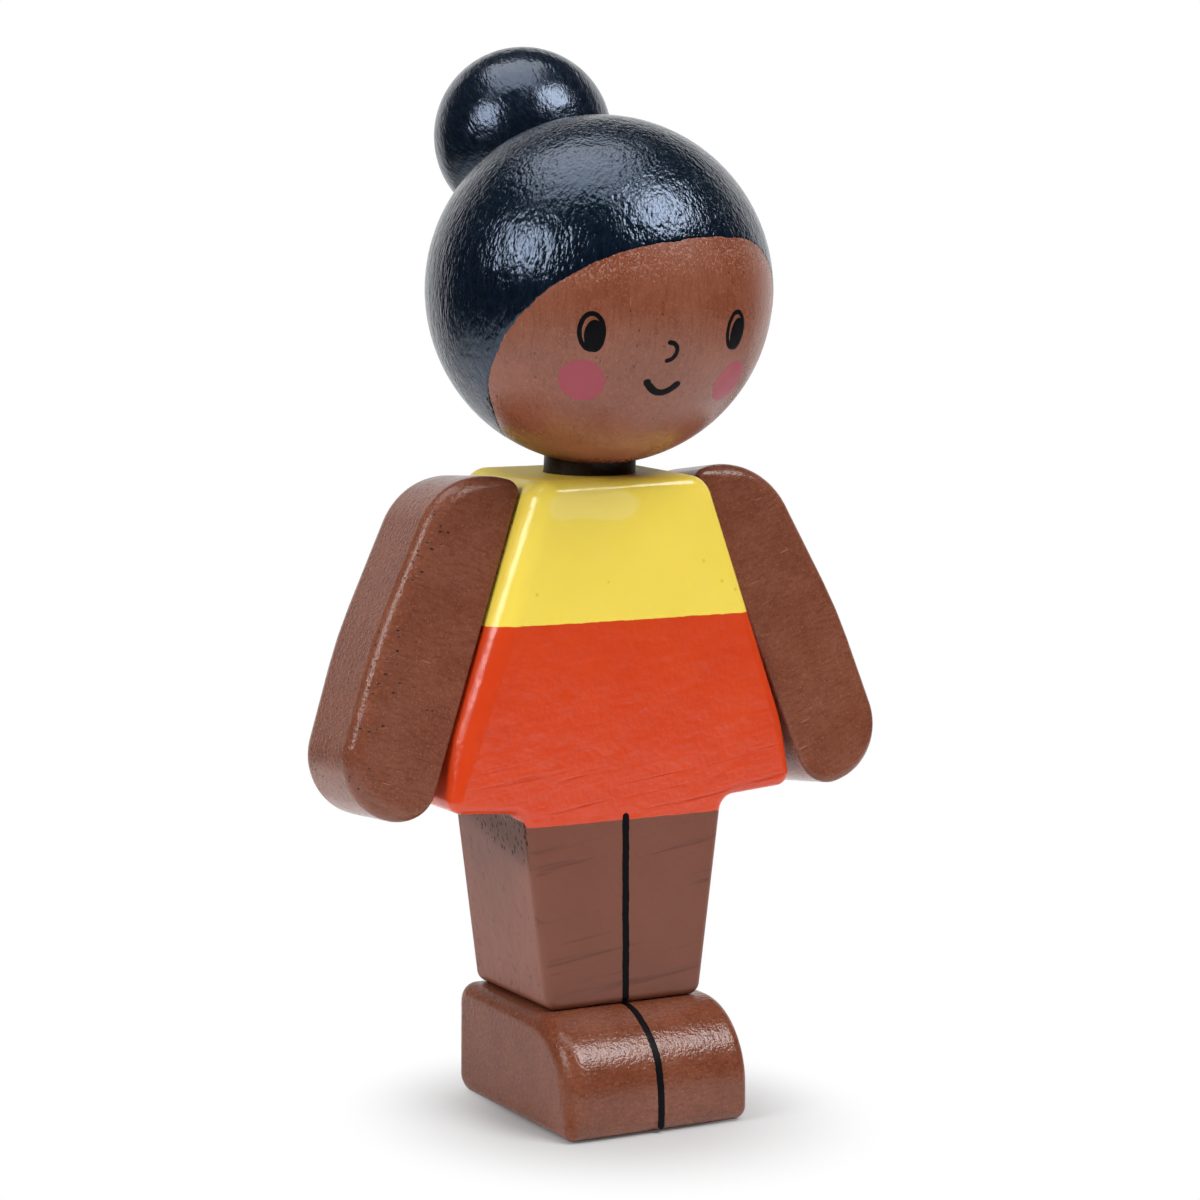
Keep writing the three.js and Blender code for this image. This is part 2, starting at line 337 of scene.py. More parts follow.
def rounded_outline(corners):
    """Points and outward normals of a counter-clockwise outline whose (x, z, radius) corners are arcs."""
    outline = []
    for i, (x, z, radius) in enumerate(corners):
        point = Vector((x, z))
        before = (Vector(corners[i - 1][:2]) - point).normalized()
        after = (Vector(corners[(i + 1) % len(corners)][:2]) - point).normalized()
        half_angle = before.angle(after) / 2
        outward = 1 if after.x * before.y - after.y * before.x > 0 else -1
        centre = point + (before + after).normalized() * (radius / math.sin(half_angle))
        start = point + before * (radius / math.tan(half_angle)) - centre
        sweep = outward * (math.pi - 2 * half_angle)
        steps = math.ceil(abs(sweep) / ARC_STEP)
        for step in range(steps + 1):
            turned = Matrix.Rotation(sweep * step / steps, 2) @ start
            outline.append((centre + turned, turned.normalized() * outward))
    return outline


def slab(outline, depth, rim_at):
    """Closed slab of an outline in X and Z, centred on Y = 0. rim_at gives the radius of its rim at a point
    of the outline, on the front or the back."""
    bm = bmesh.new()

    def ring(front, inset_share, drop_share, support_in=0.0, support_down=0.0):
        made = []
        for point, normal in outline:
            rim = rim_at(point, front)
            flat = point - normal * (rim * inset_share + support_in)
            y = depth / 2 - rim * drop_share - support_down
            made.append(bm.verts.new((flat.x, -y if front else y, flat.y)))
        return made

    def rounded_rim(front):
        rings = [ring(front, 1, 0, support_in=SUPPORT)]
        for step in range(RIM_STEPS + 1):
            angle = math.pi / 2 * step / RIM_STEPS
            rings.append(ring(front, 1 - math.sin(angle), 1 - math.cos(angle)))
        return rings + [ring(front, 0, 1, support_down=SUPPORT)]

    front_rings = rounded_rim(True)
    back_rings = rounded_rim(False)
    bridge(bm, front_rings + back_rings[::-1])
    bm.faces.new(front_rings[0])
    bm.faces.new(back_rings[0])
    return bm


def lathe(profile):
    """Closed round solid about Z from a profile of (radius, z) points that starts and ends on the axis."""
    bm = bmesh.new()
    rings = []
    for radius, z in profile[1:-1]:
        ring = []
        for step in range(LATHE_SEGMENTS):
            angle = 2 * math.pi * step / LATHE_SEGMENTS
            ring.append(bm.verts.new((radius * math.cos(angle), radius * math.sin(angle), z)))
        rings.append(ring)
    bridge(bm, rings)
    for ring, (_, z) in ((rings[0], profile[0]), (rings[-1], profile[-1])):
        fan(bm, bm.verts.new((0, 0, z)), ring)
    return bm


def drill(piece, place, radius, bottom, top):
    """Cuts a round bore along the Z axis of a frame, from one height to another."""
    bm = bmesh.new()
    size = {"radius1": radius, "radius2": radius, "depth": top - bottom}
    bmesh.ops.create_cone(bm, cap_ends=True, segments=BORE_SEGMENTS, **size)
    bmesh.ops.translate(bm, verts=bm.verts, vec=(0, 0, (top + bottom) / 2))
    cutter = add_object("cutter", finished_mesh("cutter", bm))
    cutter.matrix_world = place
    modifier = piece.modifiers.new("bore", "BOOLEAN")
    modifier.operation = "DIFFERENCE"
    modifier.solver = "EXACT"
    modifier.object = cutter
    bpy.context.view_layer.update()
    evaluated = piece.evaluated_get(bpy.context.evaluated_depsgraph_get())
    bored = bpy.data.meshes.new_from_object(evaluated)
    piece.modifiers.clear()
    bored.name = piece.name
    piece.data = bored
    smooth(bored)
    bpy.data.objects.remove(cutter)


# Paint marks: thin closed films that lie on the wood

STROKE_PROFILE = [(-1, 0), (-0.86, 0.75), (-0.55, 1), (0.55, 1), (0.86, 0.75), (1, 0)]
STROKE_END_SHARE = 0.1
EDGE_WOBBLE = 0.12
WOBBLE_SCALE = 2600
OVAL_DOME = 0.999
OVAL_WOBBLE = 0.012
OVAL_WOBBLE_SCALE = 5


def stroke(bm, points, normals, half_width, closed=False):
    """Brush line along points on a surface, with round ends and a slightly uneven edge."""
    count = len(points)
    lengths = [0.0]
    for a, b in zip(points, points[1:]):
        lengths.append(lengths[-1] + (b - a).length)
    rings = []
    for i, (point, normal) in enumerate(zip(points, normals)):
        ahead = points[(i + 1) % count] if closed or i < count - 1 else point
        behind = points[i - 1] if closed or i > 0 else point
        across = (ahead - behind).cross(normal).normalized()
        end = half_width if closed else min(lengths[i], lengths[-1] - lengths[i], half_width)
        width = half_width * max(math.sqrt(1 - (1 - end / half_width) ** 2), STROKE_END_SHARE)
        ring = []
        for share, rise in STROKE_PROFILE:
            wobble = 1 + EDGE_WOBBLE * noise.noise(point * WOBBLE_SCALE + across * share)
            place = point + across * (share * width * wobble) + normal * (rise * FILM)
            ring.append(bm.verts.new(place))
        rings.append(ring)
    bridge(bm, rings + rings[:1] if closed else rings)
    if not closed:
        bm.faces.new(rings[0])
        bm.faces.new(reversed(rings[-1]))


def head_direction(angles):
    """Unit direction in the ball's frame of a (to the left, above the level) pair of degrees."""
    left, above = (math.radians(angle) for angle in angles)
    return Vector((math.sin(left) * math.cos(above), -math.cos(left) * math.cos(above), math.sin(above)))


def face_chart(angles):
    """Function from lengths (to the left, up) about a place on the face to a direction on the ball."""
    middle = head_direction(angles)
    left = Vector((0, 0, 1)).cross(middle).normalized()
    up = middle.cross(left)
    return lambda u, v: (middle * HEAD_RADIUS + left * u + up * v).normalized()


def oval(bm, chart, half_width, half_height, shift=(0, 0)):
    """Filled oval of paint on the face."""
    rings = []
    for row in range(1, OVAL_ROWS + 1):
        share = math.sin(math.pi / 2 * row / OVAL_ROWS)
        rise = FILM * math.sqrt(1 - share ** 2 * OVAL_DOME)
        ring = []
        for step in range(OVAL_STEPS):
            angle = 2 * math.pi * step / OVAL_STEPS
            x = math.cos(angle)
            y = math.sin(angle)
            seed = Vector((x * OVAL_WOBBLE_SCALE, y * OVAL_WOBBLE_SCALE, shift[0]))
            reach = share * (1 + OVAL_WOBBLE * noise.noise(seed))
            direction = chart(shift[0] + half_width * reach * x, shift[1] + half_height * reach * y)
            ring.append(bm.verts.new(direction * (HEAD_RADIUS + rise)))
        rings.append(ring)
    bridge(bm, rings)
    fan(bm, bm.verts.new(chart(*shift) * (HEAD_RADIUS + FILM)), rings[0])
    bm.faces.new(rings[-1])


def eye(bm, angles):
    """An oval outline and a pupil set low to one side, which leaves a crescent."""
    chart = face_chart(angles)
    reach = 1 - EYE_LINE_HALF_WIDTH / EYE_HALF_WIDTH / 2
    directions = []
    for step in range(EYE_STEPS):
        angle = 2 * math.pi * step / EYE_STEPS
        across = EYE_HALF_WIDTH * reach * math.cos(angle)
        directions.append(chart(across, EYE_HALF_HEIGHT * reach * math.sin(angle)))
    stroke(bm, [d * HEAD_RADIUS for d in directions], directions, EYE_LINE_HALF_WIDTH, closed=True)
    oval(bm, chart, PUPIL_HALF_WIDTH, PUPIL_HALF_HEIGHT, PUPIL_SHIFT)


def face_stroke(bm, points, half_width):
    """Brush line on the face through places given by their angles."""
    directions = [head_direction(pair) for pair in smooth_curve(points, FACE_STROKE_STEPS)]
    stroke(bm, [d * HEAD_RADIUS for d in directions], directions, half_width)


def face_ink():
    """Both eyes, the nose and the mouth."""
    bm = bmesh.new()
    eye(bm, RIGHT_EYE)
    eye(bm, LEFT_EYE)
    face_stroke(bm, NOSE, NOSE_HALF_WIDTH)
    face_stroke(bm, MOUTH, MOUTH_HALF_WIDTH)
    return bm


def cheeks():
    """A round spot on either cheek."""
    bm = bmesh.new()
    for angles in (RIGHT_CHEEK, LEFT_CHEEK):
        oval(bm, face_chart(angles), CHEEK_RADIUS, CHEEK_RADIUS)
    return bm


def leg_line():
    """Black line down the middle of the legs and round their lower edge."""
    bm = bmesh.new()
    points = []
    normals = []
    end = FOOT_HEIGHT + LEG_LINE_END_GAP
    for step in range(LEG_LINE_STEPS + 1):
        z = LEG_LINE_TOP + (end - LEG_LINE_TOP) * step / LEG_LINE_STEPS
        sway = LEG_LINE_SWAY * noise.noise(Vector((0, 0, z * LEG_LINE_SWAY_SCALE)))
        dip = max(1 - (z - FOOT_HEIGHT) / BODY_EDGE_RADIUS, 0)
        face_on = math.sqrt(1 - dip ** 2)
        normals.append(Vector((0, -face_on, -dip)))
        points.append(Vector((sway, BODY_EDGE_RADIUS * (1 - face_on) - BODY_DEPTH / 2, z)))
    stroke(bm, points, normals, LEG_LINE_HALF_WIDTH)
    return bm


def foot_line():
    """The same line over the top of the foot and down its rounded toe."""
    bm = bmesh.new()
    points = []
    normals = []
    toe_middle = Vector((0, -(FOOT_FORWARD - TOE_RADIUS), FOOT_HEIGHT - TOE_RADIUS))
    for step in range(TOE_LINE_STEPS + 1):
        angle = math.pi / 2 * step / TOE_LINE_STEPS
        normals.append(Vector((0, -math.sin(angle), math.cos(angle))))
        points.append(toe_middle + normals[-1] * TOE_RADIUS)
    for step in range(1, FOOT_FRONT_LINE_STEPS + 1):
        share = FOOT_LINE_REACH * step / FOOT_FRONT_LINE_STEPS
        normals.append(Vector((0, -1, 0)))
        points.append(Vector((0, -FOOT_FORWARD, (FOOT_HEIGHT - TOE_RADIUS) * (1 - share))))
    for point in points:
        point.x = FOOT_LINE_SWAY * noise.noise(point * FOOT_LINE_SWAY_SCALE)
    stroke(bm, points, normals, LEG_LINE_HALF_WIDTH)
    return bm


# Wooden pieces

def body_block():
    """Dress and legs, with bores for the neck, the arm dowels and the foot dowels."""
    left_half = [
        (ANKLE_WIDTH / 2, FOOT_HEIGHT, ANKLE_CORNER_RADIUS),
        (LEG_TOP_WIDTH / 2, crotch_height, HEM_FILLET_RADIUS),
        (dress_side(hem_height) - HEM_TUCK, hem_height, HEM_CORNER_RADIUS),
        (dress_side(bend_height), bend_height, BEND_RADIUS),
        (SHOULDER_WIDTH / 2, shoulder_height, SHOULDER_RADIUS),
    ]
    right_half = [(-x, z, radius) for x, z, radius in reversed(left_half)]

    def rim_at(point, front):
        if not front:
            return BODY_EDGE_RADIUS
        from_right = (point.x + SHOULDER_WIDTH / 2) / DRESS_EDGE_CHANGE
        dress_rim = blend(DRESS_EDGE_RADIUS, DRESS_LEFT_EDGE_RADIUS, from_right)
        return blend(BODY_EDGE_RADIUS, dress_rim, (point.y - hem_height) / BEND_ABOVE_HEM)

    bm = slab(rounded_outline(left_half + right_half), BODY_DEPTH, rim_at)
    for vertex in bm.verts:
        height_share = (vertex.co.z - bend_height) / (shoulder_height - bend_height)
        back_share = 0.5 + vertex.co.y / BODY_DEPTH
        vertex.co.z += blend(0, DRESS_TOP_RISE, height_share) * back_share
    piece = add_piece("dress_and_legs", bm, Matrix(), "torso", ["body_block"])
    bore = DOWEL_RADIUS + BORE_CLEARANCE
    drill(piece, head_frame, NECK_RADIUS + BORE_CLEARANCE, -NECK_IN_BODY - BORE_END_GAP, NECK_RADIUS)
    for side in SIDES:
        drill(piece, arm_frame(side, 0), bore, -ARM_DOWEL_REACH - BORE_END_GAP, DOWEL_RADIUS)
        drill(piece, foot_joint(side), bore, -FOOT_HEIGHT, FOOT_DOWEL_IN_LEG + BORE_END_GAP)
    return piece


def foot_block():
    """Foot with a rounded toe, drawn from its side and then turned to face the front."""
    outline = rounded_outline([
        (-FOOT_BACKWARD, 0, FOOT_HEEL_RADIUS),
        (FOOT_FORWARD, 0, FOOT_CORNER_RADIUS),
        (FOOT_FORWARD, FOOT_HEIGHT, TOE_RADIUS),
        (-FOOT_BACKWARD, FOOT_HEIGHT, FOOT_HEEL_RADIUS),
    ])

    def rim_at(point, on_right):
        top_rim = LEFT_FOOT_EDGE_RADIUS
        if on_right:
            top_rim = blend(FOOT_EDGE_RADIUS, TOE_EDGE_RADIUS, point.x / FOOT_FORWARD)
        return blend(SOLE_EDGE_RADIUS, top_rim, (point.y - SOLE_EDGE_HEIGHT) / TOE_EDGE_RADIUS)

    bm = slab(outline, FOOT_WIDTH, rim_at)
    bmesh.ops.rotate(bm, verts=bm.verts, matrix=Matrix.Rotation(-math.pi / 2, 3, "Z"))
    piece = add_piece("foot", bm, Matrix(), "torso", ["foot_block"])
    bore = DOWEL_RADIUS + BORE_CLEARANCE
    for side in SIDES:
        drill(piece, foot_joint(side), bore, -FOOT_DOWEL_IN_FOOT - BORE_END_GAP, FOOT_HEIGHT)
    return piece


def arm(side, swing):
    """Arm of one side, with the bore of its pivot."""
    hand = ARM_TOP + ARM_LENGTH
    outline = rounded_outline([
        (ARM_TOP, ARM_GAP, ARM_INNER_TOP_RADIUS),
        (hand, ARM_GAP, ARM_INNER_HAND_RADIUS),
        (hand, ARM_GAP + ARM_HAND_THICKNESS, ARM_OUTER_HAND_RADIUS),
        (ARM_TOP + ARM_MIDDLE, ARM_GAP + ARM_MIDDLE_THICKNESS, ARM_OUTER_RADIUS),
        (ARM_TOP, ARM_GAP + ARM_TOP_THICKNESS, ARM_OUTER_TOP_RADIUS),
    ])

    def rim_at(point, front):
        outer_rim = ARM_EDGE_RADIUS
        if side > 0:
            from_top = (point.x - ARM_TOP) / ARM_OUTER_TOP_RADIUS
            outer_rim = blend(ARM_EDGE_RADIUS, LEFT_ARM_EDGE_RADIUS, from_top)
        return blend(ARM_INNER_EDGE_RADIUS, outer_rim, (point.y - ARM_GAP) / ARM_EDGE_CHANGE)

    word = SIDES[side]
    bm = slab(outline, ARM_DEPTH, rim_at)
    place = arm_frame(side, swing)
    piece = add_piece(f"{word}_arm_wood", bm, place, f"{word}_arm", [f"{word}_arm"])
    drill(piece, place, DOWEL_RADIUS + BORE_CLEARANCE, -DOWEL_RADIUS, ARM_DOWEL_REACH + BORE_END_GAP)
    return piece


def ball_arc(radius, end, steps):
    """Profile points of a ball from its top to an angle off it."""
    angles = [end * step / steps for step in range(steps + 1)]
    return [(radius * math.sin(angle), radius * math.cos(angle)) for angle in angles]


def seat_bun(bm):
    """Flattens a ball's skin where the bun sits, deeper by as much as the skin lies under the hair's."""
    axis = (ball_frame.inverted() @ bun_frame).to_3x3() @ Vector((0, 0, 1))
    for vertex in bm.verts:
        flat = BUN_FLAT_ON_HEAD - (HAIR_RADIUS - vertex.co.length)
        above = vertex.co.dot(axis) - flat
        if above > 0:
            vertex.co -= axis * above


def head_ball():
    """Ball with the neck's bore and a flat for the bun."""
    bore = NECK_RADIUS + BORE_CLEARANCE
    bore_end = NECK_TOP + BORE_END_GAP - HEAD_RISE
    arc = ball_arc(HEAD_RADIUS, math.pi - math.asin(bore / HEAD_RADIUS), HEAD_STEPS)
    bm = lathe([*arc, (bore, bore_end), (0, bore_end)])
    seat_bun(bm)
    return add_piece("head", bm, ball_frame, "head", ["head_ball"])


def hairline_at(clock):
    """Hairline's distance from the face's axis at a clock angle, both in degrees."""
    count = len(HAIRLINE)
    last = max(i for i in range(count) if HAIRLINE[i][0] <= clock)
    before, here, after, later = (HAIRLINE[i % count] for i in range(last - 1, last + 3))
    share = (clock - here[0]) / ((after[0] - here[0]) % 360)
    return spline(before[1], here[1], after[1], later[1], share)


def face_axes():
    """Axis of the face and the two directions across it, in the ball's frame."""
    axis = Vector((0, -math.cos(FACE_AXIS_DIP), math.sin(FACE_AXIS_DIP)))
    left = Vector((1, 0, 0))
    return axis, left, axis.cross(left)


def measure_from_hairline(piece):
    """Stores how many degrees each point of the head lies inside the hairline."""
    axis, left, up = face_axes()
    back = ball_frame.inverted()
    inside = []
    for vertex in piece.data.vertices:
        direction = (back @ vertex.co).normalized()
        clock = math.degrees(math.atan2(direction.dot(left), direction.dot(up)))
        inside.append(hairline_at(clock) - math.degrees(direction.angle(axis)))
    piece.data.attributes.new(FROM_HAIRLINE, "FLOAT", "POINT").data.foreach_set("value", inside)


def hair_cap():
    """Closed film of hair paint from the hairline to the back of the head, with a rounded lip."""
    bm = bmesh.new()
    axis, left, up = face_axes()
    inner_radius = HEAD_RADIUS - FILM
    columns = []
    for column in range(HAIR_COLUMNS):
        clock = -180 + 360 * column / HAIR_COLUMNS
        around = math.radians(clock)
        toward = up * math.cos(around) + left * math.sin(around)
        wave = HAIR_EDGE_WAVE * noise.noise(toward * HAIR_EDGE_WAVE_SCALE)
        nicks = HAIR_EDGE_NICKS * noise.noise(toward * HAIR_EDGE_NICKS_SCALE)
        columns.append((toward, hairline_at(clock) + wave + nicks))

    def ring(lip_share, back_share, radius):
        made = []
        for toward, edge in columns:
            start = edge + HAIR_LIP * lip_share
            distance = math.radians(start + (HAIR_END - edge - HAIR_LIP) * back_share)
            direction = axis * math.cos(distance) + toward * math.sin(distance)
            made.append(bm.verts.new(direction * radius))
        return made

    outer = []
    for row in range(HAIR_LIP_ROWS):
        share = row / HAIR_LIP_ROWS
        outer.append(ring(share, 0, blend(inner_radius, HAIR_RADIUS, math.sin(math.pi / 2 * share))))
    outer += [ring(1, row / HAIR_ROWS, HAIR_RADIUS) for row in range(HAIR_ROWS + 1)]
    inner = [ring(1, row / HAIR_INNER_ROWS, inner_radius) for row in range(1, HAIR_INNER_ROWS + 1)]
    bridge(bm, outer)
    bridge(bm, outer[:1] + inner)
    bm.faces.new(outer[-1])
    bm.faces.new(inner[-1])
    seat_bun(bm)
    return add_piece("hair", bm, ball_frame, "head")


def hair_bun():
    """Smaller ball with a flat against the head and a bore for its dowel."""
    middle = BUN_FLAT + BUN_RADIUS - BUN_FLAT_DEPTH
    flat_angle = math.pi - math.acos((BUN_RADIUS - BUN_FLAT_DEPTH) / BUN_RADIUS)
    bore = BUN_DOWEL_RADIUS + BORE_CLEARANCE
    bore_end = BUN_FLAT + BUN_DOWEL_REACH + BORE_END_GAP
    arc = [(radius, middle + z) for radius, z in ball_arc(BUN_RADIUS, flat_angle, BUN_STEPS)]
    bm = lathe([*arc, (bore, BUN_FLAT), (bore, bore_end), (0, bore_end)])
    return add_piece("bun", bm, bun_frame, "head", ["hair_bun"])


def neck():
    """Dowel with bevelled ends."""
    bevelled = NECK_RADIUS - NECK_BEVEL
    bm = lathe([
        (0, NECK_TOP), (bevelled, NECK_TOP), (NECK_RADIUS, NECK_TOP - NECK_BEVEL),
        (NECK_RADIUS, -NECK_IN_BODY + NECK_BEVEL), (bevelled, -NECK_IN_BODY), (0, -NECK_IN_BODY),
    ])
    return add_piece("neck", bm, head_frame, "torso", ["neck_dowel"])


# Materials

DRAWN_PLACE = "drawn_place"
FROM_HAIRLINE = "from_hairline"
WHITE = (1, 1, 1, 1)


class Graph:
    """A node tree with short ways to add linked nodes."""

    # Sockets of a node that mixes colours
    MIX_INPUTS = (0, 6, 7)
    MIX_OUTPUT = 2

    # Part of a speck's radius that it fills fully
    SPECK_CORE = 0.55

    def __init__(self, tree):
        self.tree = tree
        self.tree.nodes.clear()

    def add(self, kind, inputs=None, **settings):
        """Node with its settings, whose inputs are linked to sockets or set to values."""
        node = self.tree.nodes.new(kind)
        for name, value in settings.items():
            setattr(node, name, value)
        for key, value in (inputs or {}).items():
            if isinstance(value, bpy.types.NodeSocket):
                self.tree.links.new(value, node.inputs[key])
            else:
                node.inputs[key].default_value = value
        return node

    def math(self, operation, a, b=0.0):
        return self.add("ShaderNodeMath", {0: a, 1: b}, operation=operation).outputs[0]

    def plus(self, a, b):
        return self.math("ADD", a, b)

    def times(self, a, b):
        return self.math("MULTIPLY", a, b)

    def fade(self, value, low, high, to_low=0.0, to_high=1.0):
        """Smooth step of a value from low to high."""
        inputs = {"Value": value, "From Min": low, "From Max": high, "To Min": to_low, "To Max": to_high}
        return self.add("ShaderNodeMapRange", inputs, interpolation_type="SMOOTHSTEP").outputs["Result"]

    def mix(self, factor, a, b):
        """Colour between two."""
        inputs = dict(zip(self.MIX_INPUTS, (factor, a, b)))
        return self.add("ShaderNodeMix", inputs, data_type="RGBA").outputs[self.MIX_OUTPUT]

    def length(self, vector):
        return self.add("ShaderNodeVectorMath", {0: vector}, operation="LENGTH").outputs["Value"]

    def part(self, vector, axis):
        return self.add("ShaderNodeSeparateXYZ", {"Vector": vector}).outputs[axis]

    def place(self, stretch=(1, 1, 1), turn=(0, 0, 0)):
        """Places in the frame that the piece was drawn in, for a pattern stretched and then turned."""
        coordinates = self.add("ShaderNodeAttribute", attribute_name=DRAWN_PLACE).outputs["Vector"]
        inputs = {"Vector": coordinates, "Scale": stretch, "Rotation": turn}
        return self.add("ShaderNodeMapping", inputs, vector_type="TEXTURE").outputs["Vector"]

    def reach(self, vector, middle, size):
        """Distance of a place from a middle, counted in the size given along each axis."""
        inputs = {"Vector": vector, "Location": middle, "Scale": size}
        return self.length(self.add("ShaderNodeMapping", inputs, vector_type="TEXTURE").outputs["Vector"])

    def noise(self, place, scale, detail=2.0, roughness=0.55):
        inputs = {"Vector": place, "Scale": scale, "Detail": detail, "Roughness": roughness}
        return self.add("ShaderNodeTexNoise", inputs).outputs["Fac"]

    def specks(self, place, scale, radius, rare):
        """Mask of small scattered spots: the share of cells that hold one is 1 - rare."""
        cells = self.add("ShaderNodeTexVoronoi", {"Vector": place, "Scale": scale, "Randomness": 1.0})
        spot = self.fade(cells.outputs["Distance"], radius, radius * self.SPECK_CORE)
        chosen = self.add("ShaderNodeSeparateColor", {"Color": cells.outputs["Color"]}).outputs[0]
        return self.times(spot, self.math("GREATER_THAN", chosen, rare))

    def finish(self, colour, roughness, height, depth, strength, specular=0.5, tint=WHITE):
        """Surface with the given colour, roughness, bump height and highlights."""
        bump = self.add("ShaderNodeBump", {"Height": height, "Distance": depth, "Strength": strength})
        shader = self.add("ShaderNodeBsdfPrincipled", {
            "Base Color": colour, "Roughness": roughness, "Normal": bump.outputs["Normal"],
            "Specular IOR Level": specular, "Specular Tint": tint,
        })
        self.add("ShaderNodeOutputMaterial", {"Surface": shader.outputs["BSDF"]})


def new_graph(name):
    """A material and the graph of its empty node tree."""
    material = bpy.data.materials.new(name)
    material.use_nodes = True
    return material, Graph(material.node_tree)


# Skin: changes of the base colour on 0 to 255 screen values, and strengths of the marks
SKIN_LIGHTER = (12, 11, 10)
SKIN_DARKER = (-12, -11, -10)
SKIN_STREAK = (-26, -22, -18)
SKIN_GLINT = (30, 26, 24)
SKIN_GLOSS_SPREAD = 0.05
SCRATCH_STRENGTH = 0.4
FLECK_STRENGTH = 0.5
PORE_STRENGTH = 0.85
FILLED_PORES = 0.12
END_GRAIN_SPECULAR = 0.18

# Pale flecks on the brow, which are painted highlights: degrees below the hairline, and heights above the
# ball's middle
FLECKED_BAND = 20.0
FLECKED_FROM = 0.0012
FLECKED_FULLY = 0.0036

# Pores of an arm crowd between these heights above its inner face
PORES_FROM = 0.0040
PORES_FULLY = 0.0072


def shifted(colour, change):
    """Linear colour of screen values after a change."""
    return srgb(*(value + step for value, step in zip(colour, change)))


def skin_paint(name, grain, base, gloss, specular, peel=0.5, marks=None, end_grain=None):
    """Satin brown paint that shows the wood's grain. grain stretches the grain, peel is how strong the
    paint's fine relief is, marks adds pores and scratches, and end_grain is where the paint is dull."""
    material, graph = new_graph(name)
    still = graph.place()
    mottle = graph.noise(still, scale=260, detail=3)
    streaks = graph.noise(graph.place(grain), scale=3600, detail=3, roughness=0.6)
    lumps = graph.noise(still, scale=2400, roughness=0.5)
    fine = graph.noise(still, scale=4800)
    share = graph.fade(mottle, 0.25, 0.75, 0.25, 0.75)
    colour = graph.mix(share, shifted(base, SKIN_DARKER), shifted(base, SKIN_LIGHTER))
    colour = graph.mix(graph.fade(streaks, 0.4, 0.7, 0, 0.5), colour, shifted(base, SKIN_STREAK))
    colour = graph.mix(graph.fade(fine, 0.5, 0.75, 0, 0.5), colour, shifted(base, SKIN_GLINT))
    height = graph.plus(graph.times(streaks, 0.5), graph.times(fine, 0.3))
    height = graph.plus(height, graph.times(lumps, peel))
    if marks:
        pores, scratches, flecks = marks(graph)
        colour = graph.mix(graph.times(scratches, SCRATCH_STRENGTH), colour, srgb(172, 128, 112))
        # Pale flecks: on the face these are painted highlights below the hairline
        colour = graph.mix(graph.times(flecks, FLECK_STRENGTH), colour, srgb(176, 122, 104))
        colour = graph.mix(graph.times(pores, PORE_STRENGTH), colour, srgb(36, 18, 14))
        height = graph.math("SUBTRACT", graph.plus(height, flecks), pores)
    rough = graph.fade(mottle, 0.3, 0.7, gloss - SKIN_GLOSS_SPREAD, gloss + SKIN_GLOSS_SPREAD)
    if end_grain:
        specular = graph.fade(end_grain(graph), 0, 1, specular, END_GRAIN_SPECULAR)
    graph.finish(colour, rough, height, depth=0.00005, strength=0.9, specular=specular)
    return material


def face_marks(graph):
    """Sparse short pores along the grain, and pale flecks below the brow's hairline that are painted
    highlights.
    """
    pores = graph.specks(graph.place((1, 1, 2.5)), scale=2600, radius=0.17, rare=0.78)
    scratches = graph.specks(graph.place((1, 1, 8)), scale=1700, radius=0.1, rare=0.7)
    inside = graph.add("ShaderNodeAttribute", attribute_name=FROM_HAIRLINE).outputs["Fac"]
    brow = graph.fade(graph.part(graph.place(), "Z"), FLECKED_FROM, FLECKED_FULLY)
    brow_highlight_band = graph.times(graph.fade(inside, FLECKED_BAND, 0), brow)
    flecks = graph.fade(graph.noise(graph.place((1, 1, 1.4)), scale=5200, detail=1), 0.52, 0.66)
    return pores, scratches, graph.times(flecks, brow_highlight_band)


def arm_marks(graph):
    """Pores in short rows, crowded near the outer edge, and fine scratches and flecks across the arm."""
    still = graph.place()
    crowd = graph.fade(graph.part(still, "Z"), PORES_FROM, PORES_FULLY, 0.04, 1)
    crowd = graph.math("GREATER_THAN", crowd, graph.noise(still, scale=900, detail=1))
    pores = graph.times(graph.specks(graph.place((1, 1, 2)), scale=1900, radius=0.23, rare=0.3), crowd)
    slanted = graph.place((1, 1, 5), (0, math.radians(12), 0))
    gaps = graph.math("GREATER_THAN", graph.noise(still, scale=4200, detail=1), 0.5)
    rows = graph.times(graph.specks(slanted, scale=900, radius=0.1, rare=0.5), gaps)
    scratches = graph.specks(graph.place((1, 1, 10)), scale=1500, radius=0.1, rare=0.6)
    flecks = graph.specks(still, scale=3000, radius=0.2, rare=0.8)
    return graph.math("MAXIMUM", pores, rows), scratches, flecks


def left_arm_marks(graph):
    """The same marks on an arm whose pores are nearly filled with paint."""
    pores, scratches, flecks = arm_marks(graph)
    return graph.times(pores, FILLED_PORES), scratches, flecks


def foot_sides(graph):
    """Mask of the foot's two sides, which are end grain."""
    across = graph.math("ABSOLUTE", graph.part(graph.place(), "X"))
    return graph.fade(across, FOOT_WIDTH / 2 - FOOT_EDGE_RADIUS, FOOT_WIDTH / 2 - FOOT_EDGE_RADIUS / 4)


HAIR_GLOSS_SPREAD = 0.045


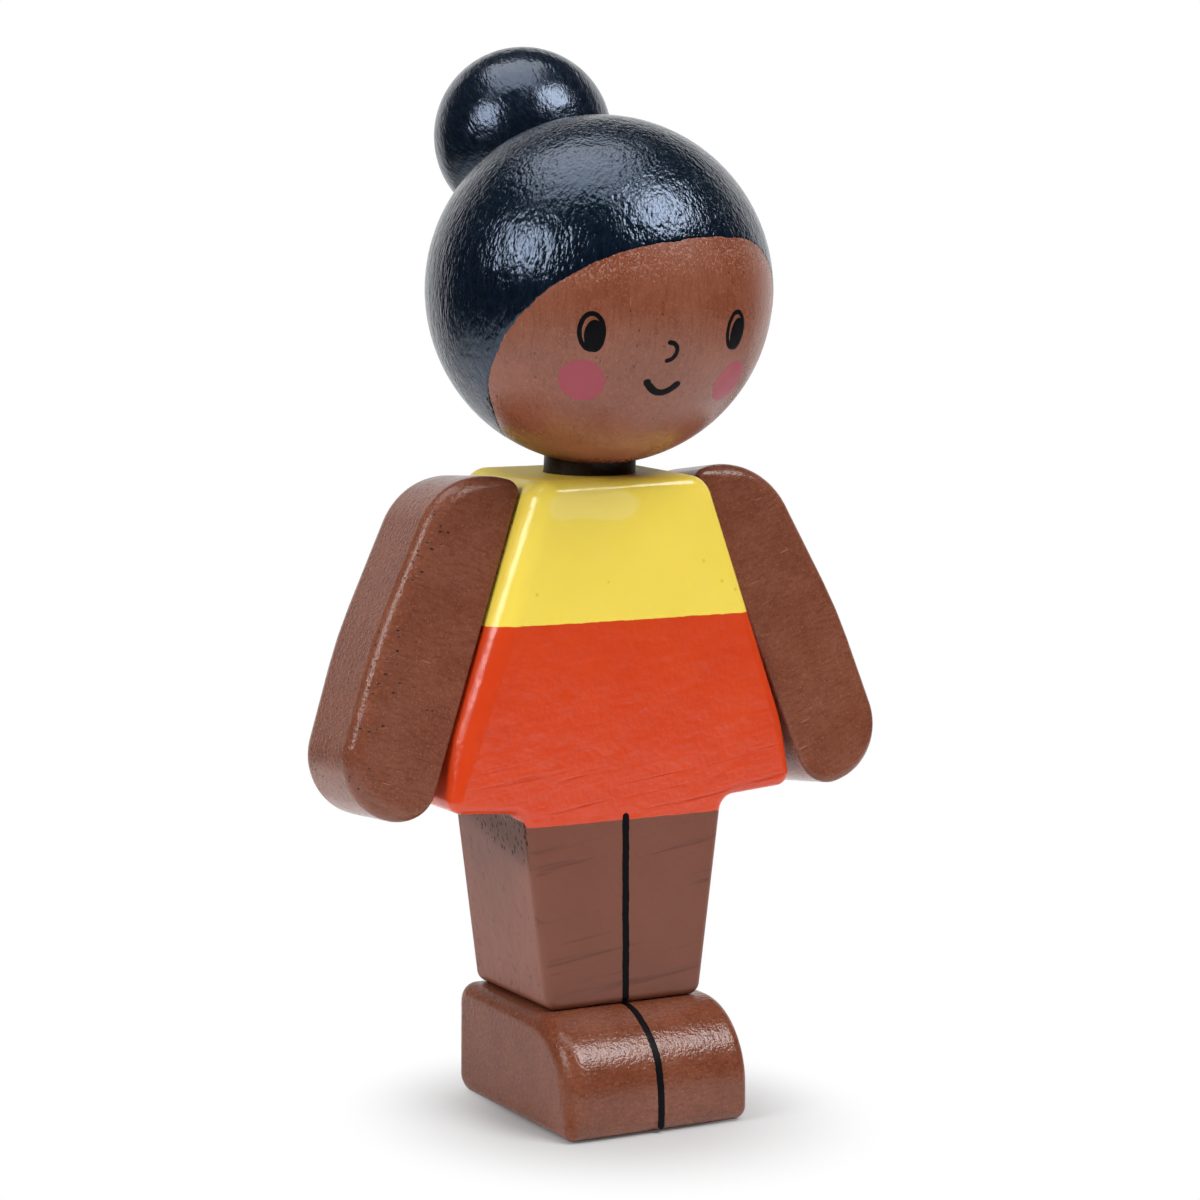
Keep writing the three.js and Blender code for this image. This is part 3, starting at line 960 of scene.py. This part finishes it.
def hair_paint(name, gloss=0.145, relief=0.8):
    """Gloss blue-black paint brushed over the grain, whose relief breaks its highlights into flakes."""
    material, graph = new_graph(name)
    along = graph.place((1, 1, 3))
    grain = graph.noise(along, scale=3600, roughness=0.5)
    brush = graph.noise(along, scale=1500, roughness=0.5)
    wave = graph.noise(graph.place(), scale=700)
    colour = graph.mix(graph.fade(grain, 0.35, 0.7), srgb(4, 12, 22), srgb(12, 24, 38))
    rough = graph.fade(brush, 0.3, 0.7, gloss - HAIR_GLOSS_SPREAD, gloss + HAIR_GLOSS_SPREAD)
    height = graph.plus(graph.times(grain, relief), graph.times(brush, relief))
    height = graph.plus(height, graph.times(wave, 0.7))
    tint = srgb(205, 224, 255)
    graph.finish(colour, rough, height, depth=0.00010, strength=1.0, specular=0.65, tint=tint)
    return material


# Dress paint: softness and wobble of the edges between colours, the block's flat faces, and gloss
PAINT_EDGE = 0.00004
PAINT_EDGE_WOBBLE = 0.00022
FACE_FROM = BODY_DEPTH / 2 - 0.0005
FACE_FULLY = BODY_DEPTH / 2 - 0.0002
TOP_FACE_FROM = shoulder_height - 0.0002
DRESS_ROUGHNESS = 0.20
TOP_FACE_ROUGHNESS = 0.55
LEG_ROUGHNESS = 0.40
DRESS_SPECULAR = 0.45
LEG_SPECULAR = 0.34
PORE_SPECULAR = 0.05


def dress_zones(graph, still):
    """Masks of the block's flat faces, of the dress above its hem and of the yellow top."""
    off_middle = graph.math("ABSOLUTE", graph.part(still, "Y"))
    wobble = graph.math("SUBTRACT", graph.noise(still, scale=800, detail=4), 0.5)
    painted_height = graph.plus(graph.part(still, "Z"), graph.times(wobble, PAINT_EDGE_WOBBLE))
    face = graph.fade(off_middle, FACE_FROM, FACE_FULLY)
    arch = graph.fade(off_middle, BODY_DEPTH / 2, 0, 0, SKIRT_HEM_ARCH)
    hem = graph.plus(graph.fade(face, 0, 1, SKIRT_HEM_SIDE, SKIRT_HEM_FRONT), arch)
    dress_zone = graph.fade(graph.math("SUBTRACT", painted_height, hem), -PAINT_EDGE, PAINT_EDGE)
    top_zone = graph.fade(painted_height, SKIRT_TOP - PAINT_EDGE, SKIRT_TOP + PAINT_EDGE)
    return face, dress_zone, top_zone


def leg_end_grain(graph, still, face):
    """Masks of the thinly painted end grain on the legs' sides below the hem, and of its pores."""
    backward = graph.part(still, "Y")
    bare_from = graph.fade(backward, BODY_DEPTH / 2, -BODY_DEPTH / 2, BARE_FROM_BACK, BARE_FROM_FRONT)
    bare = graph.fade(graph.math("SUBTRACT", graph.part(still, "Z"), bare_from), 0, BARE_FADE, 0.1, 1)
    end_grain = graph.times(graph.fade(face, 1, 0), bare)
    porous = graph.math("LESS_THAN", graph.noise(still, scale=1300, detail=1), end_grain)
    pores = graph.specks(graph.place((1, 1, 1.5)), scale=2300, radius=0.44, rare=0.05)
    return end_grain, graph.times(pores, porous)


def yellow_top(graph, still, mottle):
    """Yellow of the dress's top, with a few darker specks and a pale patch that is a painted highlight."""
    yellow = graph.mix(mottle, srgb(234, 207, 74), srgb(238, 213, 92))
    specks = graph.specks(still, scale=620, radius=0.13, rare=0.5)
    yellow = graph.mix(graph.times(specks, 0.45), yellow, srgb(205, 160, 30))
    # Painted highlight: paler yellow in a patch on the upper front
    reach = graph.reach(still, PAINTED_HIGHLIGHT_PLACE, PAINTED_HIGHLIGHT_REACH)
    reach = graph.plus(reach, graph.times(graph.noise(still, scale=260, detail=1), 0.9))
    return graph.mix(graph.fade(reach, 1.45, 1.25, 0, 0.32), yellow, srgb(246, 228, 150))


def orange_skirt(graph, height, mottle, lines):
    """Orange-red of the skirt, with grain lines that show towards the hem."""
    orange = graph.mix(mottle, srgb(195, 54, 19), srgb(206, 68, 27))
    low = graph.fade(height, SKIRT_HEM_FRONT + SKIRT_LINES_RISE, SKIRT_HEM_FRONT, 0, 0.6)
    return graph.mix(graph.times(lines, low), orange, srgb(165, 48, 26))


def brown_legs(graph, mottle, lines, face, end_grain, pores):
    """Brown of the legs: lighter on their sides, which is painted light, and darker with pores on the end
    grain below the hem, partly painted shade under the hem.
    """
    front_brown = graph.mix(mottle, srgb(106, 59, 43), srgb(116, 68, 52))
    # Sides: a lighter copy of the brown, which is painted light
    lit_side_brown = graph.mix(mottle, srgb(119, 66, 48), srgb(129, 75, 57))
    brown = graph.mix(face, lit_side_brown, front_brown)
    # Darker end grain below the hem: partly the wood's own end grain, partly painted shade under the hem
    brown = graph.mix(graph.times(end_grain, 0.7), brown, srgb(80, 50, 40))
    brown = graph.mix(graph.times(lines, 0.6), brown, srgb(84, 46, 34))
    return graph.mix(graph.times(pores, PORE_STRENGTH), brown, srgb(50, 30, 24))


def dress_paint():
    """Gloss paint in three zones of the one block: yellow top, orange-red skirt and brown legs."""
    material, graph = new_graph("dress_paint")
    still = graph.place()
    along = graph.place((18, 1, 1), (0, math.radians(-8), 0))
    height = graph.part(still, "Z")
    mottle = graph.noise(still, scale=180, detail=3)
    streaks = graph.noise(along, scale=1500, detail=5, roughness=0.6)
    lines = graph.fade(graph.noise(along, scale=1300, roughness=0.5), 0.60, 0.72)
    face, dress_zone, top_zone = dress_zones(graph, still)
    end_grain, pores = leg_end_grain(graph, still, face)

    orange = orange_skirt(graph, height, mottle, lines)
    dress = graph.mix(top_zone, orange, yellow_top(graph, still, mottle))
    brown = brown_legs(graph, mottle, lines, face, end_grain, pores)
    colour = graph.mix(dress_zone, brown, dress)
    gloss = graph.fade(height, TOP_FACE_FROM, shoulder_height, DRESS_ROUGHNESS, TOP_FACE_ROUGHNESS)
    rough = graph.fade(dress_zone, 0, 1, LEG_ROUGHNESS, gloss)
    dull = graph.math("MAXIMUM", pores, graph.times(end_grain, 0.6))
    leg_specular = graph.fade(dull, 0, 1, LEG_SPECULAR, PORE_SPECULAR)
    specular = graph.fade(dress_zone, 0, 1, leg_specular, DRESS_SPECULAR)

    grooves = graph.times(lines, graph.fade(height, SKIRT_HEM_FRONT + SKIRT_GROOVES_RISE, SKIRT_HEM_FRONT))
    swell = graph.times(graph.noise(still, scale=520, detail=3), 1.4)
    relief = graph.plus(graph.plus(swell, graph.times(dress_zone, 0.5)), graph.times(streaks, 0.25))
    relief = graph.math("SUBTRACT", relief, graph.times(grooves, 0.25))
    graph.finish(colour, rough, relief, depth=0.00008, strength=0.7, specular=specular)
    return material


def ink_paint():
    """Matt black of the face and of the lines on the legs and the foot."""
    material, graph = new_graph("ink_paint")
    still = graph.place()
    patches = graph.noise(still, scale=1400, detail=3)
    fine = graph.noise(still, scale=5000)
    colour = graph.mix(patches, srgb(2, 2, 4), srgb(8, 9, 13))
    rough = graph.fade(patches, 0.3, 0.7, 0.4, 0.55)
    graph.finish(colour, rough, fine, depth=0.00001, strength=0.5, specular=0.08)
    return material


def cheek_paint():
    """Thin pink, through which the skin shows in dots."""
    material, graph = new_graph("cheek_paint")
    still = graph.place()
    patches = graph.noise(still, scale=900, detail=3)
    fine = graph.noise(still, scale=6000)
    dots = graph.specks(still, scale=2600, radius=0.25, rare=0.6)
    colour = graph.mix(patches, srgb(145, 47, 62), srgb(157, 56, 71))
    colour = graph.mix(graph.times(dots, 0.3), colour, srgb(128, 66, 66))
    rough = graph.fade(patches, 0.3, 0.7, 0.42, 0.52)
    graph.finish(colour, rough, fine, depth=0.00001, strength=0.5)
    return material


def bare_wood():
    """Pale wood of the dowels inside."""
    material, graph = new_graph("bare_wood")
    inputs = {"Vector": graph.add("ShaderNodeTexCoord").outputs["Object"], "Scale": (1, 1, 0.1)}
    along = graph.add("ShaderNodeMapping", inputs).outputs["Vector"]
    grain = graph.noise(along, scale=1800, detail=5, roughness=0.6)
    rings = graph.noise(along, scale=420)
    colour = graph.mix(grain, srgb(186, 146, 98), srgb(222, 190, 144))
    colour = graph.mix(graph.fade(rings, 0.4, 0.7, 0, 0.4), colour, srgb(170, 126, 80))
    rough = graph.fade(grain, 0.3, 0.7, 0.6, 0.75)
    graph.finish(colour, rough, grain, depth=0.00004, strength=0.6)
    return material


# Stage, lights and camera

FLOOR_SIDE = 0.44
FLOOR_CELLS = 8
FLOOR_DROP = 0.00002
FLOOR_BOUNCE = 0.95
FLOOR_EDGE_BOUNCE = 0.30
# Painted shade: grey of the floor as the camera sees it round the foot, fading to white between SHADE_INNER
# and SHADE_OUTER
FLOOR_GREY = 0.445
FLOOR_GLOW = 0.07
SHADE_MIDDLE = (-0.001, -0.006, 0.0)
SHADE_STRETCH = (0.88, 1.0, 1.0)
SHADE_INNER = 0.0072
SHADE_OUTER = 0.0272
BACKDROP_DIRECTION = Vector((0.47, 0.88, 0.0))
BACKDROP_SIDES = (0.46, 0.82)
BACKDROP_TOP = (0.62, 0.40)
ROOM_DARK = 0.04
ROOM_LIGHT = 1.0
FIGURE_MIDDLE = Vector((0, 0, 0.06))

# Lamps: name, direction from the figure, distance, width, height and power
SOFTBOXES = [
    ("left_box", (-0.87, -0.15, 0.466), 0.5, 0.21, 0.21, 1.4),
    ("right_box", (0.343, -0.566, 0.75), 0.5, 0.27, 0.22, 2.3),
    ("top_box", (-0.12, 0.07, 0.986), 0.6, 0.51, 0.51, 3.0),
]


def floor():
    """White floor that keeps the figure's shadow; round the foot the camera sees it grey, a painted shade
    that fades to white.
    """
    bm = bmesh.new()
    bmesh.ops.create_grid(bm, x_segments=FLOOR_CELLS, y_segments=FLOOR_CELLS, size=FLOOR_SIDE / 2)
    mesh = finished_mesh("floor", bm)
    ground = add_object("floor", mesh)
    ground.location.z = -FLOOR_DROP
    material, graph = new_graph("floor_white")
    seen = graph.add("ShaderNodeLightPath").outputs["Is Camera Ray"]
    place = graph.add("ShaderNodeNewGeometry").outputs["Position"]
    distance = graph.length(place)
    bounce = graph.fade(distance, FLOOR_SIDE / 4, FLOOR_SIDE / 2, FLOOR_BOUNCE, FLOOR_EDGE_BOUNCE)
    grey = graph.fade(seen, 0, 1, bounce, FLOOR_GREY)
    matt = graph.add("ShaderNodeBsdfDiffuse", {"Color": grey})
    lift = graph.add("ShaderNodeEmission", {"Color": WHITE, "Strength": graph.times(seen, FLOOR_GLOW)})
    near = graph.add("ShaderNodeAddShader", {0: matt.outputs[0], 1: lift.outputs[0]})
    far = graph.add("ShaderNodeEmission", {"Color": WHITE, "Strength": 1.0})
    reach = graph.reach(place, SHADE_MIDDLE, SHADE_STRETCH)
    share = graph.times(seen, graph.fade(reach, SHADE_INNER, SHADE_OUTER))
    both = graph.add("ShaderNodeMixShader", {0: share, 1: near.outputs[0], 2: far.outputs[0]})
    graph.add("ShaderNodeOutputMaterial", {"Surface": both.outputs[0]})
    mesh.materials.append(material)


def studio_world():
    """White for the camera; for the light, a bright backdrop behind the figure and a dim room in front."""
    world = bpy.data.worlds.new("studio")
    bpy.context.scene.world = world
    world.use_nodes = True
    graph = Graph(world.node_tree)
    direction = graph.add("ShaderNodeTexCoord").outputs["Generated"]
    inputs = {0: direction, 1: BACKDROP_DIRECTION}
    toward = graph.add("ShaderNodeVectorMath", inputs, operation="DOT_PRODUCT").outputs["Value"]
    behind = graph.fade(toward, *BACKDROP_SIDES)
    low = graph.fade(graph.part(direction, "Z"), *BACKDROP_TOP)
    level = graph.fade(graph.times(behind, low), 0, 1, ROOM_DARK, ROOM_LIGHT)
    seen = graph.add("ShaderNodeLightPath").outputs["Is Camera Ray"]
    strength = graph.math("MAXIMUM", level, seen)
    glow = graph.add("ShaderNodeBackground", {"Color": WHITE, "Strength": strength})
    graph.add("ShaderNodeOutputWorld", {"Surface": glow.outputs[0]})


def softbox(name, direction, distance, width, height, power):
    """Rectangular lamp that faces the figure."""
    lamp = bpy.data.lights.new(name, "AREA")
    lamp.shape = "RECTANGLE"
    lamp.size = width
    lamp.size_y = height
    lamp.energy = power
    box = add_object(name, lamp)
    away = Vector(direction).normalized()
    box.location = FIGURE_MIDDLE + away * distance
    box.rotation_euler = away.to_track_quat("Z", "Y").to_euler()


def camera():
    """Camera at the photograph's angle."""
    lens = bpy.data.cameras.new("camera")
    lens.sensor_width = CAMERA_SENSOR
    lens.lens = CAMERA_LENS
    lens.clip_start = CAMERA_CLIP
    seat = add_object("camera", lens)
    seat.location = CAMERA_PLACE
    seat.rotation_euler = (math.pi / 2 - CAMERA_PITCH, 0, CAMERA_AZIMUTH)
    bpy.context.scene.camera = seat


# Putting it together

def paint(piece, material, place=Matrix()):
    """Gives a piece its material, and its points their places in the frame that it was drawn in."""
    mesh = piece.data
    mesh.materials.clear()
    mesh.materials.append(material)
    back = place.inverted()
    drawn = mesh.attributes.new(DRAWN_PLACE, "FLOAT_VECTOR", "POINT")
    drawn.data.foreach_set("vector", [number for vertex in mesh.vertices for number in back @ vertex.co])


head_skin = skin_paint(
    "skin_round", (1, 1, 8), base=(130, 73, 51), gloss=0.29, specular=0.45, marks=face_marks,
)
# Neck: a very dark brown, partly the dowel's own dark colour and partly painted shade under the head
dark_shaded_neck_skin = skin_paint("skin_neck_dark_and_shaded", (1, 1, 8), base=(38, 26, 22), gloss=0.45, specular=0.2)
foot_skin = skin_paint(
    "skin_foot", (2.5, 1, 1), base=(111, 62, 43), gloss=0.18, specular=0.36, peel=1.0,
    end_grain=foot_sides,
)
hair = hair_paint("hair_paint")
bun_hair = hair_paint("bun_paint", gloss=0.21, relief=0.45)
ink = ink_paint()

paint(body_block(), dress_paint())
paint(foot_block(), foot_skin)
for side, swing, marks in ((-1, RIGHT_ARM_SWING, arm_marks), (1, LEFT_ARM_SWING, left_arm_marks)):
    arm_skin = skin_paint(
        f"skin_{SIDES[side]}_arm", (1, 1, 4), base=(117, 67, 49), gloss=0.23, specular=0.30, peel=0.9,
        marks=marks,
    )
    paint(arm(side, swing), arm_skin, arm_frame(side, swing))
paint(neck(), dark_shaded_neck_skin, head_frame)
head = head_ball()
paint(head, head_skin, ball_frame)
measure_from_hairline(head)
paint(hair_cap(), hair, ball_frame)
paint(hair_bun(), bun_hair, bun_frame)
paint(add_piece("eyes_nose_mouth", face_ink(), ball_frame, "head"), ink, ball_frame)
paint(add_piece("cheeks", cheeks(), ball_frame, "head"), cheek_paint(), ball_frame)
paint(add_piece("leg_line", leg_line(), Matrix(), "torso"), ink)
paint(add_piece("foot_line", foot_line(), Matrix(), "torso"), ink)

dowel_wood = bare_wood()
for node in ("right_foot_dowel", "left_foot_dowel", "right_arm_dowel", "left_arm_dowel", "bun_dowel"):
    slots = frame["nodes"][node].data.materials
    slots.clear()
    slots.append(dowel_wood)

floor()
studio_world()
for settings in SOFTBOXES:
    softbox(*settings)
camera()

bpy.context.scene.view_settings.view_transform = "Standard"
